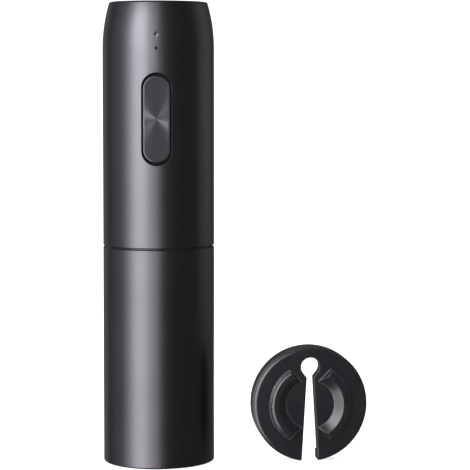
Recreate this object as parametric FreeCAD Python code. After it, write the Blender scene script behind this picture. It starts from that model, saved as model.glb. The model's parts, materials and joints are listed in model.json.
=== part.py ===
import FreeCAD, Part
import math
import os

# Rechargeable wine opener with its foil cutter. Millimetres, +Z up. The origin is on the opener's
# own axis at the level that both stand on; the button faces -Y and the foil cutter stands towards +X.

os.makedirs("parts", exist_ok=True)
Vector = FreeCAD.Vector
UP = Vector(0, 0, 1)
BACK = Vector(0, 1, 0)
RIGHT = Vector(1, 0, 0)

# Opener outside
BODY_R = 25.0
TOTAL_H = 206.7
WALL = 1.2
SLEEVE_TOP_Z = 97.2
HOUSING_BOTTOM_Z = 97.7
SHOULDER_Z = 186.0
SHOULDER_ARC_R = 72.0
TOP_EDGE_R = 1.1
TOP_OPENING_R = 19.5
CAP_BOTTOM_Z = 203.6
CAP_R = 20.3
SEAM_CHAMFER = 0.35
BASE_EDGE_R = 0.8
FIT_GAP = 0.15

# Bottle end
SLEEVE_IN_R = 23.75
MOUTH_R = 18.6
MOUTH_H = 7.0
BOTTLE_R = 15.6
BOTTLE_BORE_TOP_Z = 28.0
LIP_R = 15.2
LIP_STOP_Z = 34.0
CORK_R = 12.6
KEY_GROOVE_R = 14.4
KEY_GROOVE_W = 4.2
KEY_GROOVE_BOTTOM_Z = 37.9
GUIDE_TOP_Z = 83.5
GUIDE_WALL_R = 17.0
GUIDE_RIB_Z = (58.0, 60.0)
GUIDE_TOP_RIB_Z = 80.0
NOTCH_R = 20.2
NOTCH_H = 4.0
NOTCH_HALF_W = 3.2
FOLLOWER_Z = 38.0
FOLLOWER_H = 5.0
FOLLOWER_HOLE_R = 5.2
FOLLOWER_TOOTH_R = 9.0
FOLLOWER_TOOTH_H = 1.5

# Worm and spindle
WORM_OUT_R = 4.5
WORM_WIRE_R = 1.4
WORM_PITCH = 9.5
WORM_TIP_Z = 31.6
WORM_HEAD_Z = 79.0
WORM_TAPER_H = 7.0
WORM_TIP_R = 0.35
SOCKET_Z = (80.5, 85.0)
WORM_HEAD_R = 4.8
CROSS_PIN_Z = 82.8
CROSS_PIN_R = 0.8
JOURNAL_R = 4.0
SPINDLE_R = 3.0
RUNNING_GAP = 0.04
CLIP_Z = (85.6, 86.4)
CLIP_GROOVE_R = 3.4
CLIP_R = 5.5
BUSH_R = 6.0
BUSH_BOTTOM_Z = 87.0

# Planetary gears, in two equal stages
GEAR_MODULE = 0.4
PRESSURE_ANGLE = math.radians(20)
SUN_TEETH = 12
PLANET_TEETH = 24
RING_TEETH = SUN_TEETH + 2 * PLANET_TEETH
PLANET_COUNT = 3
ADDENDUM = 0.8 * GEAR_MODULE
DEDENDUM = 1.05 * GEAR_MODULE
FLANK_BACKLASH = 0.04
CENTRE_DISTANCE = GEAR_MODULE * (SUN_TEETH + PLANET_TEETH) / 2
RING_OUT_R = 15.65
PIN_R = 1.5
SUN_BORE_R = 1.0
CARRIER_1_R = 9.8
CARRIER_2_R = 10.2
PLATE_SCREW_X = 14.1
MOTOR_SCREW_X = 8.0

# Levels of the drive, from the spigot's floor up to the motor
SPIGOT_BOTTOM_Z = 84.5
SPIGOT_FLANGE_R = 24.2
LIGHTENING_R = (17.2, 20.4)
O_RING_R = 22.7
O_RING_WIRE_R = 1.0
O_RING_Z = 89.0
GEARBOX_FLOOR_Z = 93.0
CARRIER_2_Z = (93.6, 96.2)
PLANET_2_Z = (96.6, 101.2)
SUN_2_BOTTOM_Z = 97.2
CARRIER_1_Z = (102.0, 103.6)
PLANET_1_Z = (104.0, 108.0)
SUN_1_Z = (104.0, 108.6)
END_PLATE_Z = (109.0, 111.0)
MOTOR_Z = (111.0, 142.0)
MOTOR_R = 12.2
SHAFT_R = 1.0
CAN_TOP_Z = 140.0
BRUSH_Z = (134.5, 137.0)
BRUSH_STRIP_TOP_Z = 145.4
ROTOR_Z = (116.0, 131.0)
ROTOR_R = 9.2
SHOE_IN_R = 7.9
COIL_Z = (114.4, 132.6)
COIL_X = (3.8, 7.1)
COIL_HALF_W = 3.1
POLE_HALF_W = 1.4
COMMUTATOR_R = 2.6
COMMUTATOR_Z = (133.6, 138.0)

# Chassis, cells and board
FRAME_R = BODY_R - WALL - FIT_GAP
FRAME_IN_R = 22.0
FRAME_TOP_IN_R = 20.4
FRAME_TOP_Z = 202.0
FRAME_SPLIT_Y = -0.15
CELL_FLOOR_Z = (146.0, 148.4)
CELL_Z = (149.0, 198.5)
CELL_R = 7.1
CELL_X = 7.4
CELL_Y = 3.0
BOARD_Y = (-15.2, -14.0)
BOARD_Z = (128.0, 199.5)
BOARD_HALF_W = 11.0
RAIL_X = (10.2, 12.4)
RAIL_Y = (-24.0, -13.0)
SCREW_R = 1.0
SCREW_X = 19.0
SCREW_LEVELS = (122.0, 188.0)
USB_Y = -14.6
USB_W = 8.94
USB_T = 3.2
USB_BOTTOM_Z = 198.8
CHARGER_Z = (188.0, 191.0)
CONTROLLER_Z = (172.0, 177.0)
DRIVER_Z = (131.0, 136.0)
CAPACITOR_Z = (166.0, 167.0)
LEAD_R = 0.55
LEAD_X = 5.2
LEAD_TOP_Z = 144.4
LEAD_DROP_Y = -13.3
LEAD_BEND = 2.4

# Button, light and charging sign
BUTTON_Z = 154.7
BUTTON_W = 11.6
BUTTON_L = 38.2
BUTTON_FACE_Y = -24.9
BUTTON_BEVEL = 0.5
RECESS_W = 13.4
RECESS_L = 41.0
WINDOW_W = 15.4
WINDOW_L = 43.4
WINDOW_Y = (-28.2, -19.2)
SEAL_Y = (-22.4, -21.8)
SEAL_GAP = 0.4
PIVOT_Y = -20.6
PIVOT_R = 1.0
SWITCH_OFFSET = 5.5
SWITCH_FACE_Y = -17.6
PLUNGER_FACE_Y = -18.6
LED_Z = 185.8
LED_R = 0.7
LED_FRONT_Y = -24.6
BOLT_SIGN_Z = 191.8
BOLT_SIGN_H = 5.5
BOLT_SIGN_W = 3.0
BOLT_SIGN_Y = (-24.5, -24.95)
BOLT_SIGN_SCALE = (0.25, 1.35)
BOLT_SIGN_TILT = 0.08

# Foil cutter, given square to the opener and then turned to where it stands
CUTTER_X = 68.4
CUTTER_YAW = 6.5
CUTTER_R = 26.1
CUTTER_FRONT_Y = -6.5
CUTTER_FACE_R = 25.2
CUTTER_LEDGE_Y = CUTTER_FRONT_Y + 1.7
CUTTER_PLATE_BACK_Y = CUTTER_FRONT_Y + 6.2
CUTTER_BACK_Y = CUTTER_FRONT_Y + 10.6
CUTTER_RING_IN_R = 22.1
CUTTER_SPLIT = 0.03
SLOT_NECK_W = 3.25
SLOT_TIP_W = 7.9
NECK_W = 12.2
HOLE_W = 17.0
HOLE_R = 4.25
RIDGE_H = 2.8
RIDGE_R = (11.0, 14.8, 17.6, 18.3)
EDGE_SLOPE = (0.8, 0.36)
RIDGE_HALF_ANGLE = 60.0
BEAD_H = 0.9
LUG_R = 19.1
RECESS_NECK_R = 15.3
WHEEL_R = 3.6
WHEEL_T = 0.8
WHEEL_CENTRE_R = 18.0
WHEEL_ANGLE = 38.0
WHEEL_Y = CUTTER_PLATE_BACK_Y + 2.1
WHEEL_BLOCK_BACK_Y = CUTTER_BACK_Y - 0.3
AXLE_R = 0.8
CUTTER_Z = math.sqrt(CUTTER_R ** 2 - (SLOT_TIP_W / 2) ** 2)


# ---- shared shapes -----------------------------------------------------------------------------

def save(name, *solids):
    """Write one node: a single solid, or a group of separate solids."""
    shape = solids[0] if len(solids) == 1 else Part.makeCompound(list(solids))
    for solid in shape.Solids:
        if not solid.isValid() or solid.Volume <= 0:
            raise ValueError(name + " is not a closed solid")
    shape.exportStep("parts/" + name + ".step")
    print(name, len(shape.Solids), round(shape.Volume, 1))


def cylinder(radius, z0, z1, x=0.0, y=0.0):
    return Part.makeCylinder(radius, z1 - z0, Vector(x, y, z0), UP)


def cylinder_y(radius, y0, y1, x, z):
    return Part.makeCylinder(radius, y1 - y0, Vector(x, y0, z), BACK)


def cylinder_x(radius, x0, x1, y, z):
    return Part.makeCylinder(radius, x1 - x0, Vector(x0, y, z), RIGHT)


def tube(outer, inner, z0, z1, x=0.0, y=0.0):
    return cylinder(outer, z0, z1, x, y).cut(cylinder(inner, z0 - 1, z1 + 1, x, y))


def box(x0, x1, y0, y1, z0, z1):
    return Part.makeBox(x1 - x0, y1 - y0, z1 - z0, Vector(x0, y0, z0))


def turned(profile):
    """Solid of revolution about Z from (radius, z) points."""
    points = [Vector(r, 0, z) for r, z in profile]
    face = Part.Face(Part.makePolygon(points + points[:1]))
    return face.revolve(Vector(0, 0, 0), UP, 360)


def prism_y(outline, y0, y1):
    """Solid between two Y levels from (x, z) points."""
    points = [Vector(x, y0, z) for x, z in outline]
    face = Part.Face(Part.makePolygon(points + points[:1]))
    return face.extrude(Vector(0, y1 - y0, 0))


def stadium(width, length, depth):
    """Full-round slot shape standing along Z, centred on the origin, from Y 0 to depth."""
    r = width / 2
    h = length / 2 - r
    left = Part.LineSegment(Vector(-r, 0, -h), Vector(-r, 0, h)).toShape()
    top = Part.Arc(Vector(-r, 0, h), Vector(0, 0, h + r), Vector(r, 0, h)).toShape()
    right = Part.LineSegment(Vector(r, 0, h), Vector(r, 0, -h)).toShape()
    bottom = Part.Arc(Vector(r, 0, -h), Vector(0, 0, -h - r), Vector(-r, 0, -h)).toShape()
    return Part.Face(Part.Wire([left, top, right, bottom])).extrude(Vector(0, depth, 0))


def moved(shape, x=0.0, y=0.0, z=0.0):
    copy = shape.copy()
    copy.translate(Vector(x, y, z))
    return copy


def spun(shape, degrees, centre=Vector(0, 0, 0), axis=UP):
    copy = shape.copy()
    copy.rotate(centre, axis, degrees)
    return copy


def ring_of(shape, count, start=0.0):
    """Copies of a shape spaced evenly round the Z axis."""
    return [spun(shape, start + i * 360.0 / count) for i in range(count)]


def fused(shapes):
    return shapes[0].multiFuse(shapes[1:]).removeSplitter()


def wedge(half_angle, reach, z0, z1):
    """Sector about +X with its point on the Z axis."""
    a = math.radians(half_angle)
    corners = [Vector(0, 0, z0), Vector(reach, -reach * math.tan(a), z0)]
    corners.append(Vector(reach, reach * math.tan(a), z0))
    face = Part.Face(Part.makePolygon(corners + corners[:1]))
    return face.extrude(Vector(0, 0, z1 - z0))


# ---- housing outline ---------------------------------------------------------------------------

def housing_solid(inset, z0, z1):
    """The upper housing's outline, set in by a wall or a gap, as a filled solid of revolution."""
    arc_r = SHOULDER_ARC_R - inset
    edge_r = max(TOP_EDGE_R - inset, 0.0)
    top = z1
    rise = top - SHOULDER_Z - edge_r
    angle = math.asin(rise / (arc_r - edge_r))
    centre = BODY_R - SHOULDER_ARC_R

    def on_arc(a):
        return Vector(centre + arc_r * math.cos(a), 0, SHOULDER_Z + arc_r * math.sin(a))

    shoulder_start = Vector(BODY_R - inset, 0, SHOULDER_Z)
    axis_bottom = Vector(0, 0, z0)
    side_bottom = Vector(BODY_R - inset, 0, z0)
    end = on_arc(angle)
    edges = [Part.LineSegment(axis_bottom, side_bottom).toShape()]
    edges.append(Part.LineSegment(side_bottom, shoulder_start).toShape())
    edges.append(Part.Arc(shoulder_start, on_arc(angle / 2), end).toShape())
    if edge_r > 0:
        hub = Vector(end.x - edge_r * math.cos(angle), 0, end.z - edge_r * math.sin(angle))
        half = (angle + math.pi / 2) / 2
        middle = Vector(hub.x + edge_r * math.cos(half), 0, hub.z + edge_r * math.sin(half))
        crown = Vector(hub.x, 0, top)
        edges.append(Part.Arc(end, middle, crown).toShape())
        end = crown
    axis_top = Vector(0, 0, top)
    edges.append(Part.LineSegment(end, axis_top).toShape())
    edges.append(Part.LineSegment(axis_top, axis_bottom).toShape())
    return Part.Face(Part.Wire(edges)).revolve(Vector(0, 0, 0), UP, 360)


# ---- lower sleeve ------------------------------------------------------------------------------

def sleeve_shell():
    """Straight metal tube with a rolled bottom edge and a chamfer at the seam."""
    shell = tube(BODY_R, SLEEVE_IN_R, 0, SLEEVE_TOP_Z)
    shell = shell.makeFillet(BASE_EDGE_R, outer_rims(shell, 0))
    return shell.makeChamfer(SEAM_CHAMFER, outer_rims(shell, SLEEVE_TOP_Z))


def outer_rims(shell, level):
    """Edges round the outside of a shell at one level."""
    return [e for e in shell.Edges if e.BoundBox.XMax > BODY_R - 0.01
            and abs(e.BoundBox.ZMin - level) < 0.01 and e.BoundBox.ZLength < 0.01]


def bottle_guide():
    """Liner that centres the bottle's neck, stops its lip and guides the cork follower."""
    flange_r = SLEEVE_IN_R - FIT_GAP
    rib_z0, rib_z1 = GUIDE_RIB_Z
    profile = [(BOTTLE_R + 1.4, MOUTH_H), (flange_r, MOUTH_H), (flange_r, MOUTH_H + 2.5),
               (BOTTLE_R + 2.4, MOUTH_H + 2.5), (BOTTLE_R + 2.4, LIP_STOP_Z),
               (GUIDE_WALL_R, LIP_STOP_Z + 2), (GUIDE_WALL_R, rib_z0), (flange_r, rib_z0),
               (flange_r, rib_z1), (GUIDE_WALL_R, rib_z1), (GUIDE_WALL_R, GUIDE_TOP_RIB_Z),
               (flange_r, GUIDE_TOP_RIB_Z), (flange_r, GUIDE_TOP_Z), (CORK_R, GUIDE_TOP_Z),
               (CORK_R, LIP_STOP_Z), (LIP_R, LIP_STOP_Z), (LIP_R, BOTTLE_BORE_TOP_Z),
               (BOTTLE_R, BOTTLE_BORE_TOP_Z), (BOTTLE_R, MOUTH_H + 1.4)]
    guide = turned(profile)
    half = KEY_GROOVE_W / 2
    groove = box(CORK_R - 2, KEY_GROOVE_R + 1, -half, half, KEY_GROOVE_BOTTOM_Z, GUIDE_TOP_Z + 1)
    groove = groove.common(cylinder(KEY_GROOVE_R, 0, TOTAL_H))
    for cutter in ring_of(groove, 3):
        guide = guide.cut(cutter)
    return guide


def mouth_ring():
    """Bottom ring; the foil cutter's locating arcs and lug snap into it."""
    ring = tube(SLEEVE_IN_R - FIT_GAP, MOUTH_R, 0, MOUTH_H)
    notch = box(-NOTCH_R, 1 - MOUTH_R, -NOTCH_HALF_W, NOTCH_HALF_W, -1, NOTCH_H)
    return ring.cut(notch)


def seat_pad():
    return tube(LIP_R - 0.1, CORK_R + 0.2, LIP_STOP_Z - 1.4, LIP_STOP_Z)


def cork_follower():
    """Keyed disc that rides up on the cork; its teeth stop the cork turning."""
    body_r = CORK_R - 0.4
    top = FOLLOWER_Z + FOLLOWER_H
    half = KEY_GROOVE_W / 2 - 0.3
    keys = box(0, KEY_GROOVE_R, -half, half, FOLLOWER_Z, top)
    keys = keys.common(cylinder(KEY_GROOVE_R - 0.4, 0, TOTAL_H))
    tooth_tip = Vector(FOLLOWER_TOOTH_R, 0, FOLLOWER_Z - FOLLOWER_TOOTH_H)
    tooth = Part.makeCone(0.2, 0.9, FOLLOWER_TOOTH_H, tooth_tip, UP)
    body = fused([cylinder(body_r, FOLLOWER_Z, top)] + ring_of(keys, 3) + ring_of(tooth, 6, 30))
    return body.cut(cylinder(FOLLOWER_HOLE_R, FOLLOWER_Z - 3, top + 1))


# ---- worm --------------------------------------------------------------------------------------

def worm():
    """Open wire helix with a sharpened last turn, on a bored head."""
    path_r = WORM_OUT_R - WORM_WIRE_R
    body_start = WORM_TIP_Z + WORM_TAPER_H
    body_turns = WORM_HEAD_Z + 1.5 - body_start
    straight = Part.makeHelix(WORM_PITCH, body_turns, path_r)
    straight.translate(Vector(0, 0, body_start))
    start = straight.Edges[0].valueAt(straight.Edges[0].FirstParameter)
    tangent = straight.Edges[0].tangentAt(straight.Edges[0].FirstParameter)
    section = Part.Wire(Part.makeCircle(WORM_WIRE_R, start, tangent))
    coil = sweep(straight, [section])

    taper = Part.makeHelix(WORM_PITCH, WORM_TAPER_H, path_r)
    taper.translate(Vector(0, 0, WORM_TIP_Z))
    taper.rotate(Vector(0, 0, 0), UP, -360.0 * WORM_TAPER_H / WORM_PITCH)
    edge = taper.Edges[0]
    tip = Part.Wire(Part.makeCircle(WORM_TIP_R, edge.valueAt(edge.FirstParameter),
                                    edge.tangentAt(edge.FirstParameter)))
    root = Part.Wire(Part.makeCircle(WORM_WIRE_R, edge.valueAt(edge.LastParameter),
                                     edge.tangentAt(edge.LastParameter)))
    point = sweep(taper, [tip, root])
    bottom, top = SOCKET_Z
    head = turned([(SPINDLE_R, top), (SPINDLE_R, bottom), (0, bottom), (0, WORM_HEAD_Z),
                   (WORM_HEAD_R - 0.4, WORM_HEAD_Z), (WORM_HEAD_R, WORM_HEAD_Z + 0.4),
                   (WORM_HEAD_R, top)])
    return fused([head, coil, point]).cut(cross_pin())


def sweep(path, sections):
    maker = Part.BRepOffsetAPI.MakePipeShell(path)
    maker.setFrenetMode(True)
    for section in sections:
        maker.add(section)
    maker.build()
    maker.makeSolid()
    return maker.shape()


def cross_pin():
    reach = WORM_HEAD_R - 0.2
    return cylinder_x(CROSS_PIN_R, -reach, reach, 0, CROSS_PIN_Z)


# ---- gears -------------------------------------------------------------------------------------

def gear_outline(teeth, outer_r, root_r, thinning):
    """Closed polygon of a spur gear, with a tooth centred on +X. Negative thinning widens the teeth."""
    pitch_r = GEAR_MODULE * teeth / 2
    base_r = pitch_r * math.cos(PRESSURE_ANGLE)
    involute = math.tan(PRESSURE_ANGLE) - PRESSURE_ANGLE
    flank_radii = [root_r, max(base_r, root_r + 0.05), pitch_r, (pitch_r + outer_r) / 2, outer_r]

    def half_angle(r):
        roll = math.acos(min(1.0, base_r / max(r, base_r)))
        return math.pi / (2 * teeth) + involute - (math.tan(roll) - roll) - thinning / pitch_r

    points = []
    for i in range(teeth):
        middle = 2 * math.pi * i / teeth
        for r in flank_radii:
            points.append(polar(r, middle - half_angle(r)))
        for r in reversed(flank_radii):
            points.append(polar(r, middle + half_angle(r)))
    return points


def polar(r, angle):
    return Vector(r * math.cos(angle), r * math.sin(angle), 0)


def gear_blank(teeth, outer_r, root_r, thinning, z0, z1):
    points = gear_outline(teeth, outer_r, root_r, thinning)
    face = Part.Face(Part.makePolygon(points + points[:1]))
    return moved(face, z=z0).extrude(Vector(0, 0, z1 - z0))


def spur_gear(teeth, z0, z1):
    pitch_r = GEAR_MODULE * teeth / 2
    return gear_blank(teeth, pitch_r + ADDENDUM, pitch_r - DEDENDUM, FLANK_BACKLASH, z0, z1)


def ring_gear():
    """Fixed ring that both stages run in."""
    pitch_r = GEAR_MODULE * RING_TEETH / 2
    z0 = GEARBOX_FLOOR_Z
    z1 = END_PLATE_Z[0]
    outer_r = pitch_r + DEDENDUM
    inner_r = pitch_r - ADDENDUM
    spaces = gear_blank(RING_TEETH, outer_r, inner_r, -FLANK_BACKLASH, z0 - 1, z1 + 1)
    ring = cylinder(RING_OUT_R, z0, z1).cut(spun(spaces, 180.0 / RING_TEETH))
    for screw in plate_screws():
        ring = ring.cut(screw)
    return ring


def planet(index, levels):
    """One planet in mesh at rest: a tooth space faces the sun's tooth."""
    gear = spun(spur_gear(PLANET_TEETH, levels[0], levels[1]), 180.0 / PLANET_TEETH)
    gear = gear.cut(cylinder(PIN_R + RUNNING_GAP, levels[0] - 1, levels[1] + 1))
    return spun(moved(gear, x=CENTRE_DISTANCE), index * 360.0 / PLANET_COUNT)


def planet_pins(z0, z1):
    return ring_of(cylinder(PIN_R, z0, z1, x=CENTRE_DISTANCE), PLANET_COUNT)


def carrier_1():
    """First carrier, in one piece with the second stage's sun."""
    disc = cylinder(CARRIER_1_R, CARRIER_1_Z[0], CARRIER_1_Z[1])
    body = fused([disc, spur_gear(SUN_TEETH, SUN_2_BOTTOM_Z, CARRIER_1_Z[0])])
    for pin in planet_pins(CARRIER_1_Z[0] + 0.3, CARRIER_1_Z[1] + 1):
        body = body.cut(pin)
    return body


def carrier_2():
    """Second carrier, in one piece with the output spindle."""
    lower, upper = CARRIER_2_Z
    shoulder = SOCKET_Z[1] + 0.2
    clip_z0, clip_z1 = CLIP_Z
    body = turned([(0, SOCKET_Z[0]), (SPINDLE_R, SOCKET_Z[0]), (SPINDLE_R, shoulder),
                   (JOURNAL_R, shoulder), (JOURNAL_R, clip_z0), (CLIP_GROOVE_R, clip_z0),
                   (CLIP_GROOVE_R, clip_z1), (JOURNAL_R, clip_z1), (JOURNAL_R, lower),
                   (CARRIER_2_R, lower), (CARRIER_2_R, upper), (0, upper)])
    for pin in planet_pins(lower + 0.6, upper + 1):
        body = body.cut(pin)
    return body.cut(cross_pin())


def circlip():
    ring = tube(CLIP_R, CLIP_GROOVE_R, CLIP_Z[0], CLIP_Z[1])
    return ring.cut(box(0, CLIP_R + 1, -1.6, 1.6, CLIP_Z[0] - 1, CLIP_Z[1] + 1))


def plate_screws():
    """Three countersunk screws that hold the end plate to the ring gear."""
    top = END_PLATE_Z[1]
    shank = cylinder(0.8, top - 8, top - 0.5, x=PLATE_SCREW_X)
    head = Part.makeCone(0.8, 1.3, 0.8, Vector(PLATE_SCREW_X, 0, top - 0.8), UP)
    return ring_of(fused([shank, head]), 3, 90)


def motor_screws():
    """Two countersunk screws from the gear side into the motor's face."""
    shank = cylinder(1.0, END_PLATE_Z[0] + 0.5, MOTOR_Z[0] + 2, x=MOTOR_SCREW_X)
    head = Part.makeCone(1.7, 1.0, 0.9, Vector(MOTOR_SCREW_X, 0, END_PLATE_Z[0]), UP)
    return ring_of(fused([shank, head]), 2, 30)


def gearbox_end_plate():
    plate = tube(RING_OUT_R, 3.1, END_PLATE_Z[0], END_PLATE_Z[1])
    for screw in plate_screws() + motor_screws():
        plate = plate.cut(screw)
    return plate


# ---- spigot ------------------------------------------------------------------------------------

def spigot():
    """Cup that holds the gearbox and plugs the upper half into the sleeve."""
    plug_r = SLEEVE_IN_R - 0.3
    socket_r = RING_OUT_R + 0.1
    seat_z = SLEEVE_TOP_Z + 0.05
    top = END_PLATE_Z[1]
    profile = [(BUSH_R - 0.2, SPIGOT_BOTTOM_Z), (plug_r - 0.8, SPIGOT_BOTTOM_Z),
               (plug_r, SPIGOT_BOTTOM_Z + 0.8), (plug_r, seat_z), (SPIGOT_FLANGE_R, seat_z),
               (SPIGOT_FLANGE_R, HOUSING_BOTTOM_Z), (FRAME_R, HOUSING_BOTTOM_Z), (FRAME_R, top),
               (socket_r, top), (socket_r, GEARBOX_FLOOR_Z), (BUSH_R, GEARBOX_FLOOR_Z),
               (BUSH_R, BUSH_BOTTOM_Z), (BUSH_R - 0.2, BUSH_BOTTOM_Z)]
    body = turned(profile)
    groove = tube(plug_r + 1, O_RING_R - O_RING_WIRE_R, O_RING_Z - 1.1, O_RING_Z + 1.1)
    core_out = tube(LIGHTENING_R[1], LIGHTENING_R[0], GEARBOX_FLOOR_Z - 1.5, top + 1)
    return body.cut(groove).cut(core_out)


def spigot_o_ring():
    return Part.makeTorus(O_RING_R, O_RING_WIRE_R, Vector(0, 0, O_RING_Z), UP)


def bronze_bushes():
    shaft_bore = SHAFT_R + 0.03
    spindle = tube(BUSH_R, JOURNAL_R + RUNNING_GAP, BUSH_BOTTOM_Z, GEARBOX_FLOOR_Z)
    front = tube(3.0, shaft_bore, MOTOR_Z[0] - 1, MOTOR_Z[0] + 2.2)
    rear = tube(2.4, shaft_bore, CAN_TOP_Z - 0.5, MOTOR_Z[1])
    return [spindle, front, rear]


# ---- motor -------------------------------------------------------------------------------------

def motor_can():
    face = tube(MOTOR_R, 3.0, MOTOR_Z[0], MOTOR_Z[0] + 1)
    wall = tube(MOTOR_R, MOTOR_R - 1, MOTOR_Z[0] + 1, CAN_TOP_Z)
    can = fused([face, wall])
    for screw in motor_screws():
        can = can.cut(screw)
    return can


def motor_magnets():
    z0, z1 = MOTOR_Z[0] + 3, CAN_TOP_Z - 4
    ring = tube(MOTOR_R - 1.05, ROTOR_R + 0.4, z0, z1)
    arc = ring.common(wedge(62, 20, z0 - 1, z1 + 1))
    return ring_of(arc, 2, 90)


def brush_strip():
    """Carbon brush and its strip, which runs up through the end cap as a terminal."""
    carbon = box(COMMUTATOR_R + 0.1, 5.0, -1.0, 1.0, BRUSH_Z[0], BRUSH_Z[1])
    strip = box(5.0, 5.4, -1.2, 1.2, BRUSH_Z[0], BRUSH_STRIP_TOP_Z)
    return fused([carbon, strip])


def motor_end_cap():
    rim_r = MOTOR_R - 1.05
    bottom = CAN_TOP_Z - 1.5
    cap = turned([(2.4, bottom), (rim_r, bottom), (rim_r, CAN_TOP_Z), (MOTOR_R, CAN_TOP_Z),
                  (MOTOR_R, MOTOR_Z[1]), (2.4, MOTOR_Z[1])])
    slot = box(4.95, 5.45, -1.25, 1.25, bottom - 0.5, MOTOR_Z[1] + 1)
    for cutter in ring_of(slot, 2):
        cap = cap.cut(cutter)
    return cap


def rotor_core():
    """Laminated core with three poles."""
    z0, z1 = ROTOR_Z
    hub = cylinder(3.4, z0, z1)
    arm = box(2, SHOE_IN_R + 0.5, -POLE_HALF_W, POLE_HALF_W, z0, z1)
    shoe = tube(ROTOR_R, SHOE_IN_R, z0, z1).common(wedge(44, 20, z0 - 1, z1 + 1))
    core = fused([hub] + ring_of(arm, 3) + ring_of(shoe, 3))
    return core.cut(cylinder(SHAFT_R, z0 - 1, z1 + 1))


def rotor_windings():
    coil = box(COIL_X[0], COIL_X[1], -COIL_HALF_W, COIL_HALF_W, COIL_Z[0], COIL_Z[1])
    pole = box(0, ROTOR_R, -POLE_HALF_W, POLE_HALF_W, ROTOR_Z[0], ROTOR_Z[1])
    return ring_of(coil.cut(pole), 3)


def commutator():
    z0, z1 = COMMUTATOR_Z
    body = tube(COMMUTATOR_R, SHAFT_R, z0, z1)
    for slit in ring_of(box(2.0, 3, -0.2, 0.2, z0 - 1, z1 + 1), 3, 60):
        body = body.cut(slit)
    return body


# ---- chassis -----------------------------------------------------------------------------------

def frame_half():
    """Front half of the chassis shell with its discs and screw bosses."""
    wall = turned([(FRAME_IN_R, END_PLATE_Z[1] + 0.2), (FRAME_R, END_PLATE_Z[1] + 0.2),
                   (FRAME_R, FRAME_TOP_Z), (FRAME_TOP_IN_R, FRAME_TOP_Z), (FRAME_TOP_IN_R, SHOULDER_Z),
                   (FRAME_IN_R, SHOULDER_Z - 2)])
    floor = cylinder(FRAME_R - 0.5, CELL_FLOOR_Z[0], CELL_FLOOR_Z[1])
    lid = cylinder(21.0, FRAME_TOP_Z - 1.6, FRAME_TOP_Z)
    return [wall, floor, lid]


def screw_boss(side, y0, y1, z):
    """Boss for a frame screw, joined to the chassis wall beside it."""
    x0, x1 = sorted((side * SCREW_X, side * (FRAME_IN_R + 1)))
    return fused([cylinder_y(2.4, y0, y1, side * SCREW_X, z), box(x0, x1, y0, y1, z - 2.0, z + 2.0)])


def rear_frame():
    parts = frame_half()
    for side in (-1, 1):
        for z in SCREW_LEVELS:
            parts.append(screw_boss(side, 0.15, 4.0, z))
    body = fused(parts).common(box(-30, 30, 0.15, 30, 100, 210))
    body = body.common(housing_solid(WALL + FIT_GAP, 100, TOTAL_H - 2))
    for side in (-1, 1):
        for z in SCREW_LEVELS:
            body = body.cut(cylinder_y(1.0, -8, 8, side * SCREW_X, z))
            body = body.cut(cylinder_y(2.1, 4.0, 8, side * SCREW_X, z))
    return body


def front_frame():
    """Front chassis half: board rails, pivot arms, button window and light-pipe hole."""
    parts = frame_half()
    arms = []
    for side in (-1, 1):
        x0, x1 = sorted((side * RAIL_X[0], side * RAIL_X[1]))
        parts.append(box(x0, x1, RAIL_Y[0], RAIL_Y[1], END_PLATE_Z[1] + 2, FRAME_TOP_Z))
        a0, a1 = sorted((side * 4.0, side * (RAIL_X[0] + 0.2)))
        arms.append(box(a0, a1, PIVOT_Y - 1.0, PIVOT_Y + 1.1, BUTTON_Z - 2.2, BUTTON_Z + 2.2))
        for z in SCREW_LEVELS:
            parts.append(screw_boss(side, -6.0, FRAME_SPLIT_Y, z))
    body = fused(parts).common(box(-30, 30, -30, FRAME_SPLIT_Y, 100, 210))
    body = fused([body.cut(button_window(WINDOW_W, WINDOW_L, WINDOW_Y))] + arms)
    body = body.common(housing_solid(WALL + FIT_GAP, 100, TOTAL_H - 2))
    body = body.cut(cylinder_x(PIVOT_R, -10, 10, PIVOT_Y, BUTTON_Z))
    body = body.cut(cylinder_y(LED_R + 0.1, -30, -18, 0, LED_Z))
    slot = box(-BOARD_HALF_W - 0.05, BOARD_HALF_W + 0.05, BOARD_Y[0] - 0.05, BOARD_Y[1] + 0.05,
               BOARD_Z[0] - 0.5, BOARD_Z[1] + 0.5)
    body = body.cut(slot)
    usb_half = USB_W / 2 + 0.7
    body = body.cut(box(-usb_half, usb_half, USB_Y - 2.4, USB_Y + 2.6, USB_BOTTOM_Z - 2.8, TOTAL_H))
    floor_z0, floor_z1 = CELL_FLOOR_Z
    body = body.cut(box(-RAIL_X[0], RAIL_X[0], -25.0, -12.6, floor_z0 - 1, floor_z1 + 1))
    for side in (-1, 1):
        for z in SCREW_LEVELS:
            body = body.cut(cylinder_y(SCREW_R, -5.0, 1, side * SCREW_X, z))
    return body


def button_window(width, length, levels):
    """Stadium block at the button's place, between two Y levels."""
    y0, y1 = levels
    return moved(stadium(width, length, y1 - y0), y=y0, z=BUTTON_Z)


def button_seal():
    """Thin rubber frame in the window that closes the gap round the button against dust."""
    frame = button_window(WINDOW_W - 0.1, WINDOW_L - 0.1, SEAL_Y)
    return frame.cut(button_window(BUTTON_W - 1 + 2 * SEAL_GAP, BUTTON_L - 1 + 2 * SEAL_GAP, WINDOW_Y))


def frame_screws():
    screws = []
    for side in (-1, 1):
        for z in SCREW_LEVELS:
            x = side * SCREW_X
            shank = cylinder_y(SCREW_R, -5.0, 4.0, x, z)
            head = cylinder_y(1.8, 4.0, 5.2, x, z)
            slot = box(x - 2, x + 2, 4.7, 5.3, z - 0.25, z + 0.25)
            screws.append(fused([shank, head]).cut(slot))
    return screws


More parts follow.
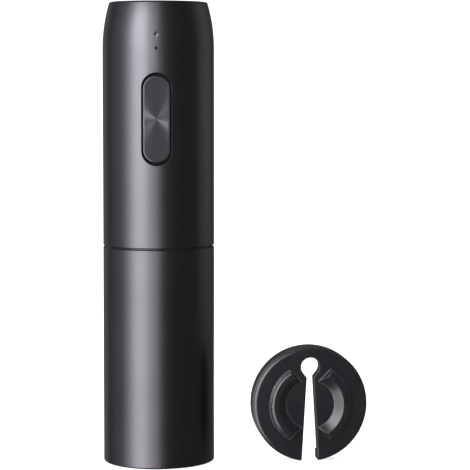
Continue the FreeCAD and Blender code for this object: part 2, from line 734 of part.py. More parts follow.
def battery_cells():
    cells = []
    for side in (-1, 1):
        can = cylinder(CELL_R, CELL_Z[0], CELL_Z[1], side * CELL_X, CELL_Y)
        nub = cylinder(2.7, CELL_Z[1], CELL_Z[1] + 0.8, side * CELL_X, CELL_Y)
        cells.append(fused([can, nub]))
    return cells


def battery_contacts():
    """Series link under the cells and a tab from each top to the board."""
    link = box(-CELL_X - 3, CELL_X + 3, CELL_Y - 3, CELL_Y + 3, CELL_Z[0] - 0.4, CELL_Z[0])
    level = CELL_Z[1] + 0.8
    tabs = []
    for side in (-1, 1):
        x = side * CELL_X
        tabs.append(box(x - 1.8, x + 1.8, BOARD_Y[1] + 0.1, CELL_Y + 2.5, level, level + 0.3))
    return [link] + tabs


def motor_leads():
    """Insulated leads from the brush terminals over the motor and down to the board."""
    leads = []
    rounding = LEAD_BEND * (1 - math.sqrt(0.5))
    for side in (-1, 1):
        x = side * LEAD_X
        start = Vector(x, -1.3, LEAD_TOP_Z)
        corner = Vector(x, LEAD_DROP_Y + LEAD_BEND, LEAD_TOP_Z)
        mid = Vector(x, LEAD_DROP_Y + rounding, LEAD_TOP_Z - rounding)
        down = Vector(x, LEAD_DROP_Y, LEAD_TOP_Z - LEAD_BEND)
        end = Vector(x, LEAD_DROP_Y, DRIVER_Z[0] + 2)
        run = Part.LineSegment(start, corner).toShape()
        turn = Part.Arc(corner, mid, down).toShape()
        fall = Part.LineSegment(down, end).toShape()
        ring = Part.Wire(Part.makeCircle(LEAD_R, start, BACK))
        leads.append(sweep(Part.Wire([run, turn, fall]), [ring]))
    return leads


def circuit_board():
    board = box(-BOARD_HALF_W, BOARD_HALF_W, BOARD_Y[0], BOARD_Y[1], BOARD_Z[0], BOARD_Z[1])
    return board.cut(box(-USB_W / 2 - 0.1, USB_W / 2 + 0.1, -20, -10, USB_BOTTOM_Z - 0.2, TOTAL_H))


def board_parts():
    """Light, charger, controller, driver and their capacitors on the board's front."""
    front = BOARD_Y[0]
    light = box(-1.0, 1.0, front - 1.3, front, LED_Z - 0.8, LED_Z + 0.8)
    charger = box(-7.5, -4.5, front - 1.0, front, CHARGER_Z[0], CHARGER_Z[1])
    controller = box(-2.5, 2.5, front - 1.1, front, CONTROLLER_Z[0], CONTROLLER_Z[1])
    driver = box(-3.0, 3.0, front - 1.4, front, DRIVER_Z[0], DRIVER_Z[1])
    capacitors = []
    for x in (-6, -2, 2, 6):
        capacitors.append(box(x - 0.8, x + 0.8, front - 0.9, front, CAPACITOR_Z[0], CAPACITOR_Z[1]))
    return [light, charger, controller, driver] + capacitors


def switch_bodies():
    bodies = []
    for side in (-1, 1):
        z = BUTTON_Z + side * SWITCH_OFFSET
        body = box(-3, 3, SWITCH_FACE_Y, BOARD_Y[0], z - 2.4, z + 2.4)
        bodies.append(body.cut(cylinder_y(1.75, SWITCH_FACE_Y - 1, SWITCH_FACE_Y + 1.5, 0, z)))
    return bodies


def switch_plunger(side):
    return cylinder_y(1.6, PLUNGER_FACE_Y, SWITCH_FACE_Y + 1.0, 0, BUTTON_Z + side * SWITCH_OFFSET)


def usb_shell():
    outer = stadium(USB_T, USB_W, 7.4)
    inner = stadium(USB_T - 0.6, USB_W - 0.6, 7.4)
    shell = outer.cut(moved(inner, y=0.4))
    return usb_stood(shell)


def usb_tongue():
    half = USB_W / 2 - 1.12
    return box(-half, half, USB_Y - 0.35, USB_Y + 0.35, USB_BOTTOM_Z + 0.4, USB_BOTTOM_Z + 6.1)


def usb_stood(shape):
    """Turn a socket shape that opens along +Y so that it opens upwards, across the board."""
    stood = spun(shape, 90, axis=BACK)
    stood = spun(stood, 90, axis=RIGHT)
    return moved(stood, y=USB_Y, z=USB_BOTTOM_Z)


def light_pipe():
    stem = cylinder_y(LED_R, LED_FRONT_Y, BOARD_Y[0] - 1.5, 0, LED_Z)
    collar = cylinder_y(1.3, -20.2, -19.2, 0, LED_Z)
    return fused([stem, collar])


# ---- outside of the upper half -----------------------------------------------------------------

def charging_sign():
    """Lightning bolt pressed into the shell with sloping sides: a plain six-cornered zigzag."""
    h = BOLT_SIGN_H / 2
    w = BOLT_SIGN_W / 2
    corners = [(0.35 * w, h), (-w, -0.12 * h), (-0.12 * w, -0.12 * h), (-0.35 * w, -h),
               (w, 0.14 * h), (0.12 * w, 0.14 * h)]
    floor, rim = [[Vector(scale * x, y + BOLT_SIGN_TILT * scale * z, BOLT_SIGN_Z + scale * z)
                   for x, z in corners] for y, scale in zip(BOLT_SIGN_Y, BOLT_SIGN_SCALE)]
    outlines = [floor, rim] + [[floor[i - 1], floor[i], rim[i], rim[i - 1]] for i in range(len(corners))]
    faces = [Part.Face(Part.makePolygon(points + points[:1])) for points in outlines]
    return Part.makeSolid(Part.makeShell(faces))


def upper_housing():
    shell = housing_solid(0, HOUSING_BOTTOM_Z, TOTAL_H)
    shell = shell.cut(housing_solid(WALL, HOUSING_BOTTOM_Z - 1, TOTAL_H - WALL))
    shell = shell.cut(cylinder(TOP_OPENING_R, TOTAL_H - 3, TOTAL_H + 1))
    shell = shell.cut(button_window(RECESS_W, RECESS_L, (-30, -20)))
    shell = shell.cut(cylinder_y(LED_R + 0.05, -30, -18, 0, LED_Z))
    shell = shell.cut(charging_sign())
    return shell.makeChamfer(SEAM_CHAMFER, outer_rims(shell, HOUSING_BOTTOM_Z))


def top_cap():
    """Plastic end cap, held under the housing's inward lip, with the charging port's opening."""
    lip_z = TOTAL_H - WALL
    cap = turned([(0, CAP_BOTTOM_Z), (CAP_R, CAP_BOTTOM_Z), (CAP_R, lip_z), (TOP_OPENING_R - 0.1, lip_z),
                  (TOP_OPENING_R - 0.1, TOTAL_H - 0.5), (TOP_OPENING_R - 0.4, TOTAL_H - 0.2),
                  (0, TOTAL_H - 0.2)])
    return cap.cut(moved(usb_stood(stadium(USB_T + 0.3, USB_W + 0.3, 20)), z=-6))


def button_cap():
    """Metal face plate with a bevel round its edge."""
    plate = moved(stadium(BUTTON_W, BUTTON_L, 1.2), y=BUTTON_FACE_Y, z=BUTTON_Z)
    face_edges = [e for e in plate.Edges if e.BoundBox.YMax < BUTTON_FACE_Y + 0.01]
    return plate.makeChamfer(BUTTON_BEVEL, face_edges)


def button_carrier():
    """Moulding behind the face plate: rocks on the pivot and presses one switch at a time."""
    back_y = BUTTON_FACE_Y + 1.2
    plate = moved(stadium(BUTTON_W - 1.0, BUTTON_L - 1.0, 1.5), y=back_y, z=BUTTON_Z)
    hub = box(-3.4, 3.4, back_y + 1.0, PIVOT_Y + 1.6, BUTTON_Z - 2.0, BUTTON_Z + 2.0)
    lugs = []
    for side in (-1, 1):
        lug_z = BUTTON_Z + side * SWITCH_OFFSET
        lugs.append(cylinder_y(1.2, back_y + 1.0, PLUNGER_FACE_Y - 0.05, 0, lug_z))
    body = fused([plate, hub] + lugs)
    return body.cut(cylinder_x(PIVOT_R + RUNNING_GAP, -5, 5, PIVOT_Y, BUTTON_Z))


def button_pivot():
    return cylinder_x(PIVOT_R, -10, 10, PIVOT_Y, BUTTON_Z)


# ---- foil cutter -------------------------------------------------------------------------------

def cutter_turned(profile):
    """Solid of revolution about the cutter's own axis from (radius, y) points."""
    points = [Vector(CUTTER_X + r, y, CUTTER_Z) for r, y in profile]
    face = Part.Face(Part.makePolygon(points + points[:1]))
    return face.revolve(Vector(CUTTER_X, 0, CUTTER_Z), BACK, 360)


def cutter_body():
    """Stepped disc with a rim behind it; chamfers run round each step."""
    front = CUTTER_FRONT_Y
    ledge = CUTTER_LEDGE_Y
    back = CUTTER_BACK_Y
    slope_w, slope_d = EDGE_SLOPE
    return cutter_turned([
        (0, front), (CUTTER_FACE_R - slope_w, front), (CUTTER_FACE_R, front + slope_d),
        (CUTTER_FACE_R, ledge), (CUTTER_R - 0.4, ledge), (CUTTER_R, ledge + 0.4),
        (CUTTER_R, back - 0.6), (CUTTER_R - 0.6, back),
        (CUTTER_RING_IN_R, back), (CUTTER_RING_IN_R, CUTTER_PLATE_BACK_Y), (0, CUTTER_PLATE_BACK_Y)])


def locating_arcs():
    """Two raised arcs left and right on the front; they centre the cutter in the opener's mouth."""
    inner, land_in, land_out, base = RIDGE_R
    front = CUTTER_FRONT_Y
    top = front - RIDGE_H
    slope_w, slope_d = EDGE_SLOPE
    ring = cutter_turned([(inner, front), (land_in, top), (land_out - slope_w, top),
                          (land_out, top + slope_d), (land_out, front - BEAD_H), (base, front - BEAD_H),
                          (base, front + 0.4), (inner, front + 0.4)])
    a = math.radians(RIDGE_HALF_ANGLE)
    corner_u = base * math.cos(a)
    corner_w = base * math.sin(a)
    reach = 30.0
    arcs = []
    for side in (-1, 1):
        outline = [(corner_u - corner_w, 0), (corner_u, corner_w), (corner_u + reach, corner_w + reach),
                   (corner_u + reach, -corner_w - reach), (corner_u, -corner_w)]
        outline = [(CUTTER_X + side * u, CUTTER_Z + w) for u, w in outline]
        near_side = box(*sorted((CUTTER_X + side * 0.5, CUTTER_X + side * reach)), -30, 30, -30, 90)
        arcs.append(ring.common(prism_y(outline, front - 5, front + 1)).common(near_side))
    return arcs


def snap_lug():
    """Small tooth outside the left arc that snaps into the mouth ring's notch."""
    front = CUTTER_FRONT_Y
    ring = cutter_turned([(RIDGE_R[2] - 1.4, front - 2.2), (LUG_R - 0.4, front - 2.2), (LUG_R, front - 1.8),
                          (LUG_R, front - 0.9), (LUG_R - 1, front + 0.2), (RIDGE_R[2] - 1.4, front + 0.2)])
    outline = [(CUTTER_X - 6, CUTTER_Z + 0.5), (CUTTER_X - 30, CUTTER_Z + 2.3),
               (CUTTER_X - 30, CUTTER_Z - 18), (CUTTER_X - 6, CUTTER_Z - 3.6)]
    return ring.common(prism_y(outline, front - 4, front + 1))


def wheel_centres():
    """The four wheel axes, as (side, x, z)."""
    centres = []
    for side in (-1, 1):
        for level in (1, -1):
            a = math.radians(WHEEL_ANGLE)
            x = CUTTER_X + side * WHEEL_CENTRE_R * math.cos(a)
            centres.append((side, x, CUTTER_Z + level * WHEEL_CENTRE_R * math.sin(a)))
    return centres


def wheel_blocks():
    """Blocks behind the plate that carry the wheels."""
    front = CUTTER_PLATE_BACK_Y - 0.2
    outer = CUTTER_RING_IN_R + 0.2
    ring = cutter_turned([(RECESS_NECK_R, front), (outer, front), (outer, WHEEL_BLOCK_BACK_Y),
                          (RECESS_NECK_R, WHEEL_BLOCK_BACK_Y)])
    blocks = []
    for side, x, z in wheel_centres():
        blocks.append(ring.common(cylinder_y(5.6, front - 1, WHEEL_BLOCK_BACK_Y + 1, x, z)))
    return blocks


def keyhole():
    """Round hole, necks and flared slot, cut right through."""
    half_neck = SLOT_NECK_W / 2
    half_tip = SLOT_TIP_W / 2
    corner = HOLE_R * math.sqrt(0.5)
    below = -CUTTER_Z - 1
    outline = [(-half_neck, NECK_W), (-half_tip, below), (half_tip, below), (half_neck, NECK_W),
               (corner, HOLE_W - corner), (-corner, HOLE_W - corner)]
    outline = [(CUTTER_X + u, CUTTER_Z + w) for u, w in outline]
    slot = prism_y(outline, -30, 30)
    hole = cylinder_y(HOLE_R, -30, 30, CUTTER_X, CUTTER_Z + HOLE_W)
    return slot.fuse(hole)


def cutter_stood(shape):
    """Turn a cutter shape about the upright line through the middle of its front face."""
    return spun(shape, CUTTER_YAW, Vector(CUTTER_X, CUTTER_FRONT_Y, 0))


def cutter_half(side):
    """One half of the moulding; the halves meet at the bridge over the round hole."""
    body = fused([cutter_body()] + locating_arcs() + [snap_lug()] + wheel_blocks())
    body = body.cut(keyhole())
    x0, x1 = sorted((CUTTER_X + side * CUTTER_SPLIT, CUTTER_X + side * 40))
    body = body.common(box(x0, x1, -30, 30, -10, 70))
    for wheel_side, x, z in wheel_centres():
        if wheel_side == side:
            body = body.cut(cylinder_y(WHEEL_R + 0.4, WHEEL_Y - 0.65, WHEEL_Y + 0.65, x, z))
            body = body.cut(cylinder_y(AXLE_R + 0.05, CUTTER_PLATE_BACK_Y + 0.2, CUTTER_BACK_Y, x, z))
    return cutter_stood(body)


def cutting_wheel(x, z):
    """Hardened disc with a knife edge, in one piece with its stub axles."""
    half = WHEEL_T / 2
    front = CUTTER_PLATE_BACK_Y + 0.4
    back = WHEEL_BLOCK_BACK_Y - 0.3
    profile = [(0, front), (AXLE_R, front), (AXLE_R, WHEEL_Y - half), (WHEEL_R - 0.8, WHEEL_Y - half),
               (WHEEL_R, WHEEL_Y), (WHEEL_R - 0.8, WHEEL_Y + half), (AXLE_R, WHEEL_Y + half),
               (AXLE_R, back), (0, back)]
    points = [Vector(x + r, y, z) for r, y in profile]
    face = Part.Face(Part.makePolygon(points + points[:1]))
    return cutter_stood(face.revolve(Vector(x, 0, z), BACK, 360))


# ---- all nodes ---------------------------------------------------------------------------------

save("sleeve_shell", sleeve_shell())
save("bottle_guide", bottle_guide())
save("mouth_ring", mouth_ring())
save("seat_pad", seat_pad())
save("cork_follower", cork_follower())

save("worm", worm())
save("worm_pin", cross_pin())
save("circlip", circlip())
save("carrier_2", carrier_2())
save("carrier_2_pins", *planet_pins(CARRIER_2_Z[0] + 0.6, PLANET_2_Z[1] + 0.3))
save("carrier_1", carrier_1())
save("carrier_1_pins", *planet_pins(CARRIER_1_Z[0] + 0.3, PLANET_1_Z[1] + 0.3))
for number in range(PLANET_COUNT):
    save("planet_1" + "abc"[number], planet(number, PLANET_1_Z))
    save("planet_2" + "abc"[number], planet(number, PLANET_2_Z))
save("sun_gear", spur_gear(SUN_TEETH, SUN_1_Z[0], SUN_1_Z[1]).cut(cylinder(SUN_BORE_R, 100, 110)))
save("ring_gear", ring_gear())
save("gearbox_end_plate", gearbox_end_plate())
save("gearbox_screws", *(plate_screws() + motor_screws()))
save("thrust_washer", tube(9.5, JOURNAL_R + 0.1, GEARBOX_FLOOR_Z, GEARBOX_FLOOR_Z + 0.5))
save("bronze_bushes", *bronze_bushes())
save("spigot", spigot())
save("spigot_o_ring", spigot_o_ring())

save("motor_can", motor_can())
save("motor_magnets", *motor_magnets())
save("motor_end_cap", motor_end_cap())
save("motor_brushes", *ring_of(brush_strip(), 2))
save("motor_shaft", cylinder(SHAFT_R, SUN_1_Z[0], 142.6))
save("rotor_core", rotor_core())
save("rotor_windings", *rotor_windings())
save("commutator", commutator())

save("front_frame", front_frame())
save("rear_frame", rear_frame())
save("frame_screws", *frame_screws())
save("battery_cells", *battery_cells())
save("battery_contacts", *battery_contacts())
save("motor_leads", *motor_leads())
save("circuit_board", circuit_board())
save("board_parts", *board_parts())
save("switch_bodies", *switch_bodies())
save("switch_plunger_top", switch_plunger(1))
save("switch_plunger_bottom", switch_plunger(-1))
save("usb_shell", usb_shell())
save("usb_tongue", usb_tongue())
save("light_pipe", light_pipe())

save("upper_housing", upper_housing())
save("top_cap", top_cap())
save("button_cap", button_cap())
save("button_carrier", button_carrier())
save("button_pivot", button_pivot())
save("button_seal", button_seal())

save("cutter_left", cutter_half(-1))
save("cutter_right", cutter_half(1))
for number, (side, x, z) in enumerate(wheel_centres(), start=1):
    save("cutting_wheel_" + str(number), cutting_wheel(x, z))
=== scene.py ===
import json
import math

import bmesh
import bpy
from mathutils import Matrix, Vector


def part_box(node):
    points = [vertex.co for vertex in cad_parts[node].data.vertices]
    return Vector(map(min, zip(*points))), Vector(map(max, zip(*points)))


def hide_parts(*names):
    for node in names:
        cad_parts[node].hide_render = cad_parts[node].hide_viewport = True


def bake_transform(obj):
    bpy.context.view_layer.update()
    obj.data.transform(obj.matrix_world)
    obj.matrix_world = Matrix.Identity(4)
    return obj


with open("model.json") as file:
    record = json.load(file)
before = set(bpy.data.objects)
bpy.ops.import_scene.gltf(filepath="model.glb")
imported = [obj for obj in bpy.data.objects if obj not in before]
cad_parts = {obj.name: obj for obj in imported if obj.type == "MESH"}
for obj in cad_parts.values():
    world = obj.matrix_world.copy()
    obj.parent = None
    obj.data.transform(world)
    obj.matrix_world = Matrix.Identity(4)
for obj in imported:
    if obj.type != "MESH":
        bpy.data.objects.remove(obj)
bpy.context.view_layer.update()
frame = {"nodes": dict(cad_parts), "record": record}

# Looks for the wine opener and its foil cutter. Metres, in the CAD frame: the opener stands on its
# own axis with its button towards -Y, and the foil cutter stands beside it towards +X.

scene = bpy.context.scene

# Camera: its place, its turn away from straight ahead and level, and the shift that frames the view
CAMERA_AT = (0.0334, -0.873, 0.1717)
CAMERA_YAW = math.radians(-0.793)
CAMERA_PITCH = math.radians(-3.295)
CAMERA_ROLL = math.radians(0.044)
CAMERA_LENS = 148.4
CAMERA_SHIFT = (-0.0522, -0.0915)

# Upright soft lights: name, azimuth in degrees, distance, height, width and tall in metres, power
# in watts, colour. Azimuth 0 is at the camera's side, and positive is to the right.
STRIP_COLOUR = (0.995, 0.975, 1.01)
PANELS = (
    ("strip_core", -37, 1.2, 0.0, 0.7, 1.9, 24, STRIP_COLOUR),
    ("strip_upper", -37, 1.32, 0.65, 0.75, 1.0, 6.6, STRIP_COLOUR),
    ("strip_edge", -62, 1.2, -0.1, 0.4, 2.4, 5.2, STRIP_COLOUR),
    ("strip_tail", -9, 1.2, 0.3, 0.44, 1.5, 5.5, STRIP_COLOUR),
    ("fill_left", -92, 1.2, 0.12, 0.7, 2.4, 2.3, (0.87, 0.86, 1.0)),
    ("rim_left", -140, 1.2, 0.12, 0.45, 2.4, 0.9, (1, 1, 1)),
    ("back", 175, 1.3, -0.62, 0.34, 1.0, 4, STRIP_COLOUR),
    ("rim_right", 113, 1.2, 0.5, 0.85, 1.1, 1.1, (1.0, 0.96, 0.98)),
)
OVERHEAD_POWER = 4.6
OVERHEAD_SPREAD = math.radians(100)

SKY_COLOUR = (1.0, 0.98, 1.0, 1)
SKY_POWER = 0.125           # what the object is lit by and reflects
BACKDROP_POWER = 1.3        # what the camera sees behind it

FLOOR_R = 3.0
FLOOR_DROP = 0.0001         # keeps the floor clear of the faces that stand on it
FLOOR_GREY = 0.5
FLOOR_GLOW = 0.75


# ---- camera, floor and lights ------------------------------------------------------------------

def make_camera():
    forward = Vector((-math.sin(CAMERA_YAW) * math.cos(CAMERA_PITCH),
                      math.cos(CAMERA_YAW) * math.cos(CAMERA_PITCH), math.sin(CAMERA_PITCH)))
    right = Vector((math.cos(CAMERA_YAW), math.sin(CAMERA_YAW), 0))
    up = right.cross(forward)
    rolled_right = math.cos(CAMERA_ROLL) * right + math.sin(CAMERA_ROLL) * up
    rolled_up = math.cos(CAMERA_ROLL) * up - math.sin(CAMERA_ROLL) * right
    turn = Matrix((rolled_right, rolled_up, -forward)).transposed()
    data = bpy.data.cameras.new("camera")
    data.sensor_width = 36
    data.lens = CAMERA_LENS
    data.shift_x, data.shift_y = CAMERA_SHIFT
    data.clip_end = 50
    camera = bpy.data.objects.new("camera", data)
    scene.collection.objects.link(camera)
    camera.matrix_world = Matrix.Translation(CAMERA_AT) @ turn.to_4x4()
    scene.camera = camera


def make_lights():
    """Upright panels all round, which give the reflections, and a wide sun that shows in none."""
    for name, azimuth, distance, height, width, tall, power, colour in PANELS:
        a = math.radians(azimuth)
        data = bpy.data.lights.new(name, "AREA")
        data.shape = "RECTANGLE"
        data.size = width
        data.size_y = tall
        data.energy = power
        data.color = colour
        light = bpy.data.objects.new(name, data)
        scene.collection.objects.link(light)
        light.location = (distance * math.sin(a), -distance * math.cos(a), height)
        towards = Vector((0, 0, height)) - light.location
        light.rotation_mode = "QUATERNION"
        light.rotation_quaternion = towards.to_track_quat("-Z", "Y")
    sun = bpy.data.lights.new("overhead", "SUN")
    sun.energy = OVERHEAD_POWER
    sun.angle = OVERHEAD_SPREAD
    overhead = bpy.data.objects.new("overhead", sun)
    scene.collection.objects.link(overhead)
    overhead.visible_glossy = False


def make_world():
    """White behind the object, dim grey in its reflections."""
    world = bpy.data.worlds.new("studio")
    scene.world = world
    world.use_nodes = True
    tree = world.node_tree
    tree.nodes.clear()
    rays = tree.nodes.new("ShaderNodeLightPath")
    dim = tree.nodes.new("ShaderNodeBackground")
    dim.inputs["Color"].default_value = SKY_COLOUR
    dim.inputs["Strength"].default_value = SKY_POWER
    white = tree.nodes.new("ShaderNodeBackground")
    white.inputs["Color"].default_value = (1, 1, 1, 1)
    white.inputs["Strength"].default_value = BACKDROP_POWER
    pick = tree.nodes.new("ShaderNodeMixShader")
    out = tree.nodes.new("ShaderNodeOutputWorld")
    tree.links.new(rays.outputs["Is Camera Ray"], pick.inputs["Fac"])
    tree.links.new(dim.outputs[0], pick.inputs[1])
    tree.links.new(white.outputs[0], pick.inputs[2])
    tree.links.new(pick.outputs[0], out.inputs["Surface"])


def make_floor():
    mesh = bpy.data.meshes.new("floor")
    shape = bmesh.new()
    bmesh.ops.create_circle(shape, cap_ends=True, segments=96, radius=FLOOR_R)
    shape.to_mesh(mesh)
    shape.free()
    floor = bpy.data.objects.new("floor", mesh)
    scene.collection.objects.link(floor)
    floor.location = (0, 0, -FLOOR_DROP)
    floor.visible_glossy = False
    paint = bpy.data.materials.new("floor_white")
    paint.use_nodes = True
    shader = paint.node_tree.nodes["Principled BSDF"]
    shader.inputs["Base Color"].default_value = (FLOOR_GREY, FLOOR_GREY, FLOOR_GREY, 1)
    shader.inputs["Emission Color"].default_value = (1, 1, 1, 1)
    shader.inputs["Emission Strength"].default_value = FLOOR_GLOW
    shader.inputs["Roughness"].default_value = 0.9
    shader.inputs["Specular IOR Level"].default_value = 0.0
    mesh.materials.append(paint)


# ---- materials ---------------------------------------------------------------------------------

class Paint:
    """A node material built round one Principled shader, with coordinates that ride on the piece."""

    def __init__(self, name, metallic=0.0, specular=0.5):
        self.material = bpy.data.materials.new(name)
        self.material.use_nodes = True
        self.tree = self.material.node_tree
        self.shader = self.tree.nodes["Principled BSDF"]
        self.shader.inputs["Metallic"].default_value = metallic
        self.shader.inputs["Specular IOR Level"].default_value = specular
        self.place = self.add("ShaderNodeTexCoord").outputs["Object"]
        self.colour = None
        self.roughness = None
        self.normal = None

    def add(self, kind, **settings):
        node = self.tree.nodes.new(kind)
        for key, value in settings.items():
            setattr(node, key, value)
        return node

    def link(self, source, target):
        self.tree.links.new(source, target)

    def noise(self, scale, detail=3.0, stretch=(1, 1, 1)):
        """Noise from 0 to 1. Scale is features per metre."""
        mapping = self.add("ShaderNodeMapping")
        mapping.inputs["Scale"].default_value = stretch
        self.link(self.place, mapping.inputs["Vector"])
        noise = self.add("ShaderNodeTexNoise")
        noise.inputs["Scale"].default_value = scale
        noise.inputs["Detail"].default_value = detail
        self.link(mapping.outputs["Vector"], noise.inputs["Vector"])
        return noise.outputs["Fac"]

    def span(self, value, low, high, start=0.3, end=0.7):
        """Map a value from its start and end to a low and a high. Noise lies mostly in 0.3 to 0.7."""
        node = self.add("ShaderNodeMapRange")
        node.inputs["From Min"].default_value = start
        node.inputs["From Max"].default_value = end
        node.inputs["To Min"].default_value = low
        node.inputs["To Max"].default_value = high
        self.link(value, node.inputs["Value"])
        return node.outputs["Result"]

    def mix(self, share, first, second):
        """Mix two colours; each is a colour tuple or a socket."""
        node = self.add("ShaderNodeMix", data_type="RGBA")
        self.link(share, node.inputs["Factor"])
        for socket, value in ((node.inputs[6], first), (node.inputs[7], second)):
            if isinstance(value, tuple):
                socket.default_value = (*value, 1)
            else:
                self.link(value, socket)
        return node.outputs[2]

    def math(self, operation, first, second=0):
        """One math step on a socket; the second value is a number or a socket."""
        node = self.add("ShaderNodeMath", operation=operation)
        self.link(first, node.inputs[0])
        if isinstance(second, (int, float)):
            node.inputs[1].default_value = second
        else:
            self.link(second, node.inputs[1])
        return node.outputs["Value"]

    def edges(self, radius):
        """1 on sharp edges and 0 elsewhere; also rounds the shading there."""
        bevel = self.add("ShaderNodeBevel", samples=4)
        bevel.inputs["Radius"].default_value = radius
        flat = self.add("ShaderNodeNewGeometry")
        dot = self.add("ShaderNodeVectorMath", operation="DOT_PRODUCT")
        self.link(bevel.outputs["Normal"], dot.inputs[0])
        self.link(flat.outputs["Normal"], dot.inputs[1])
        self.normal = bevel.outputs["Normal"]
        return self.span(dot.outputs["Value"], 1.0, 0.0, 0.75, 0.995)

    def rough(self, grain, depth, patches, low, high):
        """Roughness in patches from low to high, with the grain's own change on top."""
        fine = self.span(grain, -depth, depth)
        self.roughness = self.math("ADD", fine, self.span(self.noise(patches), low, high))

    def bump(self, height, distance):
        node = self.add("ShaderNodeBump")
        node.inputs["Distance"].default_value = distance
        self.link(height, node.inputs["Height"])
        if self.normal is not None:
            self.link(self.normal, node.inputs["Normal"])
        self.normal = node.outputs["Normal"]

    def done(self):
        self.link(self.colour, self.shader.inputs["Base Color"])
        self.link(self.roughness, self.shader.inputs["Roughness"])
        self.link(self.normal, self.shader.inputs["Normal"])
        return self.material


def anodised():
    """Satin blasted and anodised aluminium, almost black."""
    p = Paint("anodised_dark", metallic=1.0)
    wear = p.edges(0.00012)
    cloud = p.span(p.noise(35, 2), 0, 1)
    grain = p.noise(5200, 2)
    base = p.mix(cloud, (0.076, 0.0755, 0.081), (0.086, 0.0855, 0.091))
    rubbed = p.math("MULTIPLY", wear, p.span(p.noise(900), 0.0, 0.5))
    p.colour = p.mix(rubbed, base, (0.15, 0.15, 0.16))
    p.rough(grain, 0.025, 60, 0.325, 0.355)
    p.bump(grain, 0.000004)
    return p.done()


# Painted highlight sectors of the button's face, light painted into its colour: direction in degrees
# from across, sharpness, strength
PAINTED_HIGHLIGHT_SECTORS = ((-27, 9, 0.9), (48, 9, 0.5), (0, 2, 0.25))


def spun_metal():
    """Button face: fine turned rings round its middle, with painted highlight sectors, and a polished
    bevel.
    """
    low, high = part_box("button_cap")
    p = Paint("spun_metal", metallic=1.0)
    p.shader.inputs["Anisotropic"].default_value = 0.7
    wear = p.edges(0.00008)
    apart = p.add("ShaderNodeVectorMath", operation="SUBTRACT")
    p.link(p.place, apart.inputs[0])
    apart.inputs[1].default_value = (low + high) / 2
    flat = p.add("ShaderNodeVectorMath", operation="MULTIPLY")
    p.link(apart.outputs[0], flat.inputs[0])
    flat.inputs[1].default_value = (1, 0, 1)
    turn = p.add("ShaderNodeVectorTransform", vector_type="VECTOR",
                 convert_from="OBJECT", convert_to="WORLD")
    p.link(flat.outputs[0], turn.inputs[0])
    unit = p.add("ShaderNodeVectorMath", operation="NORMALIZE")
    p.link(turn.outputs[0], unit.inputs[0])
    p.link(unit.outputs[0], p.shader.inputs["Tangent"])
    length = p.add("ShaderNodeVectorMath", operation="LENGTH")
    p.link(flat.outputs[0], length.inputs[0])
    rings = p.add("ShaderNodeTexNoise", noise_dimensions="1D")
    rings.inputs["Scale"].default_value = 9000
    rings.inputs["Detail"].default_value = 3
    p.link(length.outputs["Value"], rings.inputs["W"])
    parts = p.add("ShaderNodeSeparateXYZ")
    p.link(flat.outputs[0], parts.inputs[0])
    angle = p.math("ARCTAN2", parts.outputs["Z"], parts.outputs["X"])
    # Painted highlight: sectors round the middle get a lighter colour, standing in for the light the
    # turned rings catch.
    painted_highlight = 0
    for degrees, sharpness, strength in PAINTED_HIGHLIGHT_SECTORS:
        cosine = p.math("COSINE", p.math("SUBTRACT", angle, math.radians(degrees)))
        sector = p.math("POWER", p.math("MULTIPLY", cosine, cosine), sharpness)
        painted_highlight = p.math("ADD", p.math("MULTIPLY", sector, strength), painted_highlight)
    facing = p.add("ShaderNodeTexCoord")
    split = p.add("ShaderNodeSeparateXYZ")
    p.link(facing.outputs["Normal"], split.inputs[0])
    bevel = p.span(split.outputs["Y"], 0.0, 1.0, -0.98, -0.9)
    ring = p.span(rings.outputs["Fac"], 0, 1)
    dark = p.mix(ring, (0.030, 0.0305, 0.034), (0.042, 0.0425, 0.046))
    bright = p.mix(ring, (0.085, 0.085, 0.091), (0.115, 0.115, 0.122))
    face = p.mix(painted_highlight, dark, bright)
    lit = p.mix(p.math("MULTIPLY", wear, 0.5), (0.42, 0.42, 0.425), (0.55, 0.55, 0.55))
    p.colour = p.mix(bevel, face, lit)
    turned_finish = p.span(rings.outputs["Fac"], 0.34, 0.42)
    p.roughness = p.math("ADD", turned_finish, p.math("MULTIPLY", bevel, -0.1))
    p.bump(rings.outputs["Fac"], 0.000003)
    return p.done()


def plastic(name, low, high, roughness, grain_scale=4200, radius=0.0003, specular=0.5,
            edge_wear_and_highlight=(0.05, 0.05, 0.055)):
    """Moulded plastic or rubber with a fine spark-eroded texture and softened edges, whose edges mix
    towards an edge colour: wear on most, a painted highlight on black plastic.
    """
    p = Paint(name, specular=specular)
    wear = p.edges(radius)
    grain = p.noise(grain_scale)
    base = p.mix(p.span(p.noise(120), 0, 1), low, high)
    # Edges mixed towards the edge colour: a painted highlight along the edges for black plastic, wear
    # for the rest.
    p.colour = p.mix(p.math("MULTIPLY", wear, p.span(p.noise(700), 0.1, 0.5)), base, edge_wear_and_highlight)
    p.rough(grain, 0.05, 90, roughness - 0.03, roughness + 0.03)
    p.bump(grain, 0.000012)
    return p.done()


def metal(name, low, high, roughness, stretch=(1, 1, 1), grain_scale=2500, depth=0.000004):
    """Bare or plated metal with fine marks along one way."""
    p = Paint(name, metallic=1.0)
    wear = p.edges(0.00015)
    grain = p.noise(grain_scale, stretch=stretch)
    base = p.mix(p.span(p.noise(150), 0, 1), low, high)
    light = tuple(min(1.0, 1.35 * c) for c in high)
    p.colour = p.mix(p.math("MULTIPLY", wear, 0.6), base, light)
    p.rough(grain, 0.06, 200, roughness - 0.03, roughness + 0.03)
    p.bump(grain, depth)
    return p.done()


def clear():
    """Smoked light guide, dark while the light behind it is off."""
    p = Paint("clear_light_guide", specular=0.12)
    p.colour = p.mix(p.noise(800, 2), (0.002, 0.002, 0.0025), (0.004, 0.004, 0.0045))
    p.roughness = p.span(p.noise(3000, 2), 0.12, 0.25)
    p.bump(p.noise(2500, 2), 0.000003)
    return p.done()


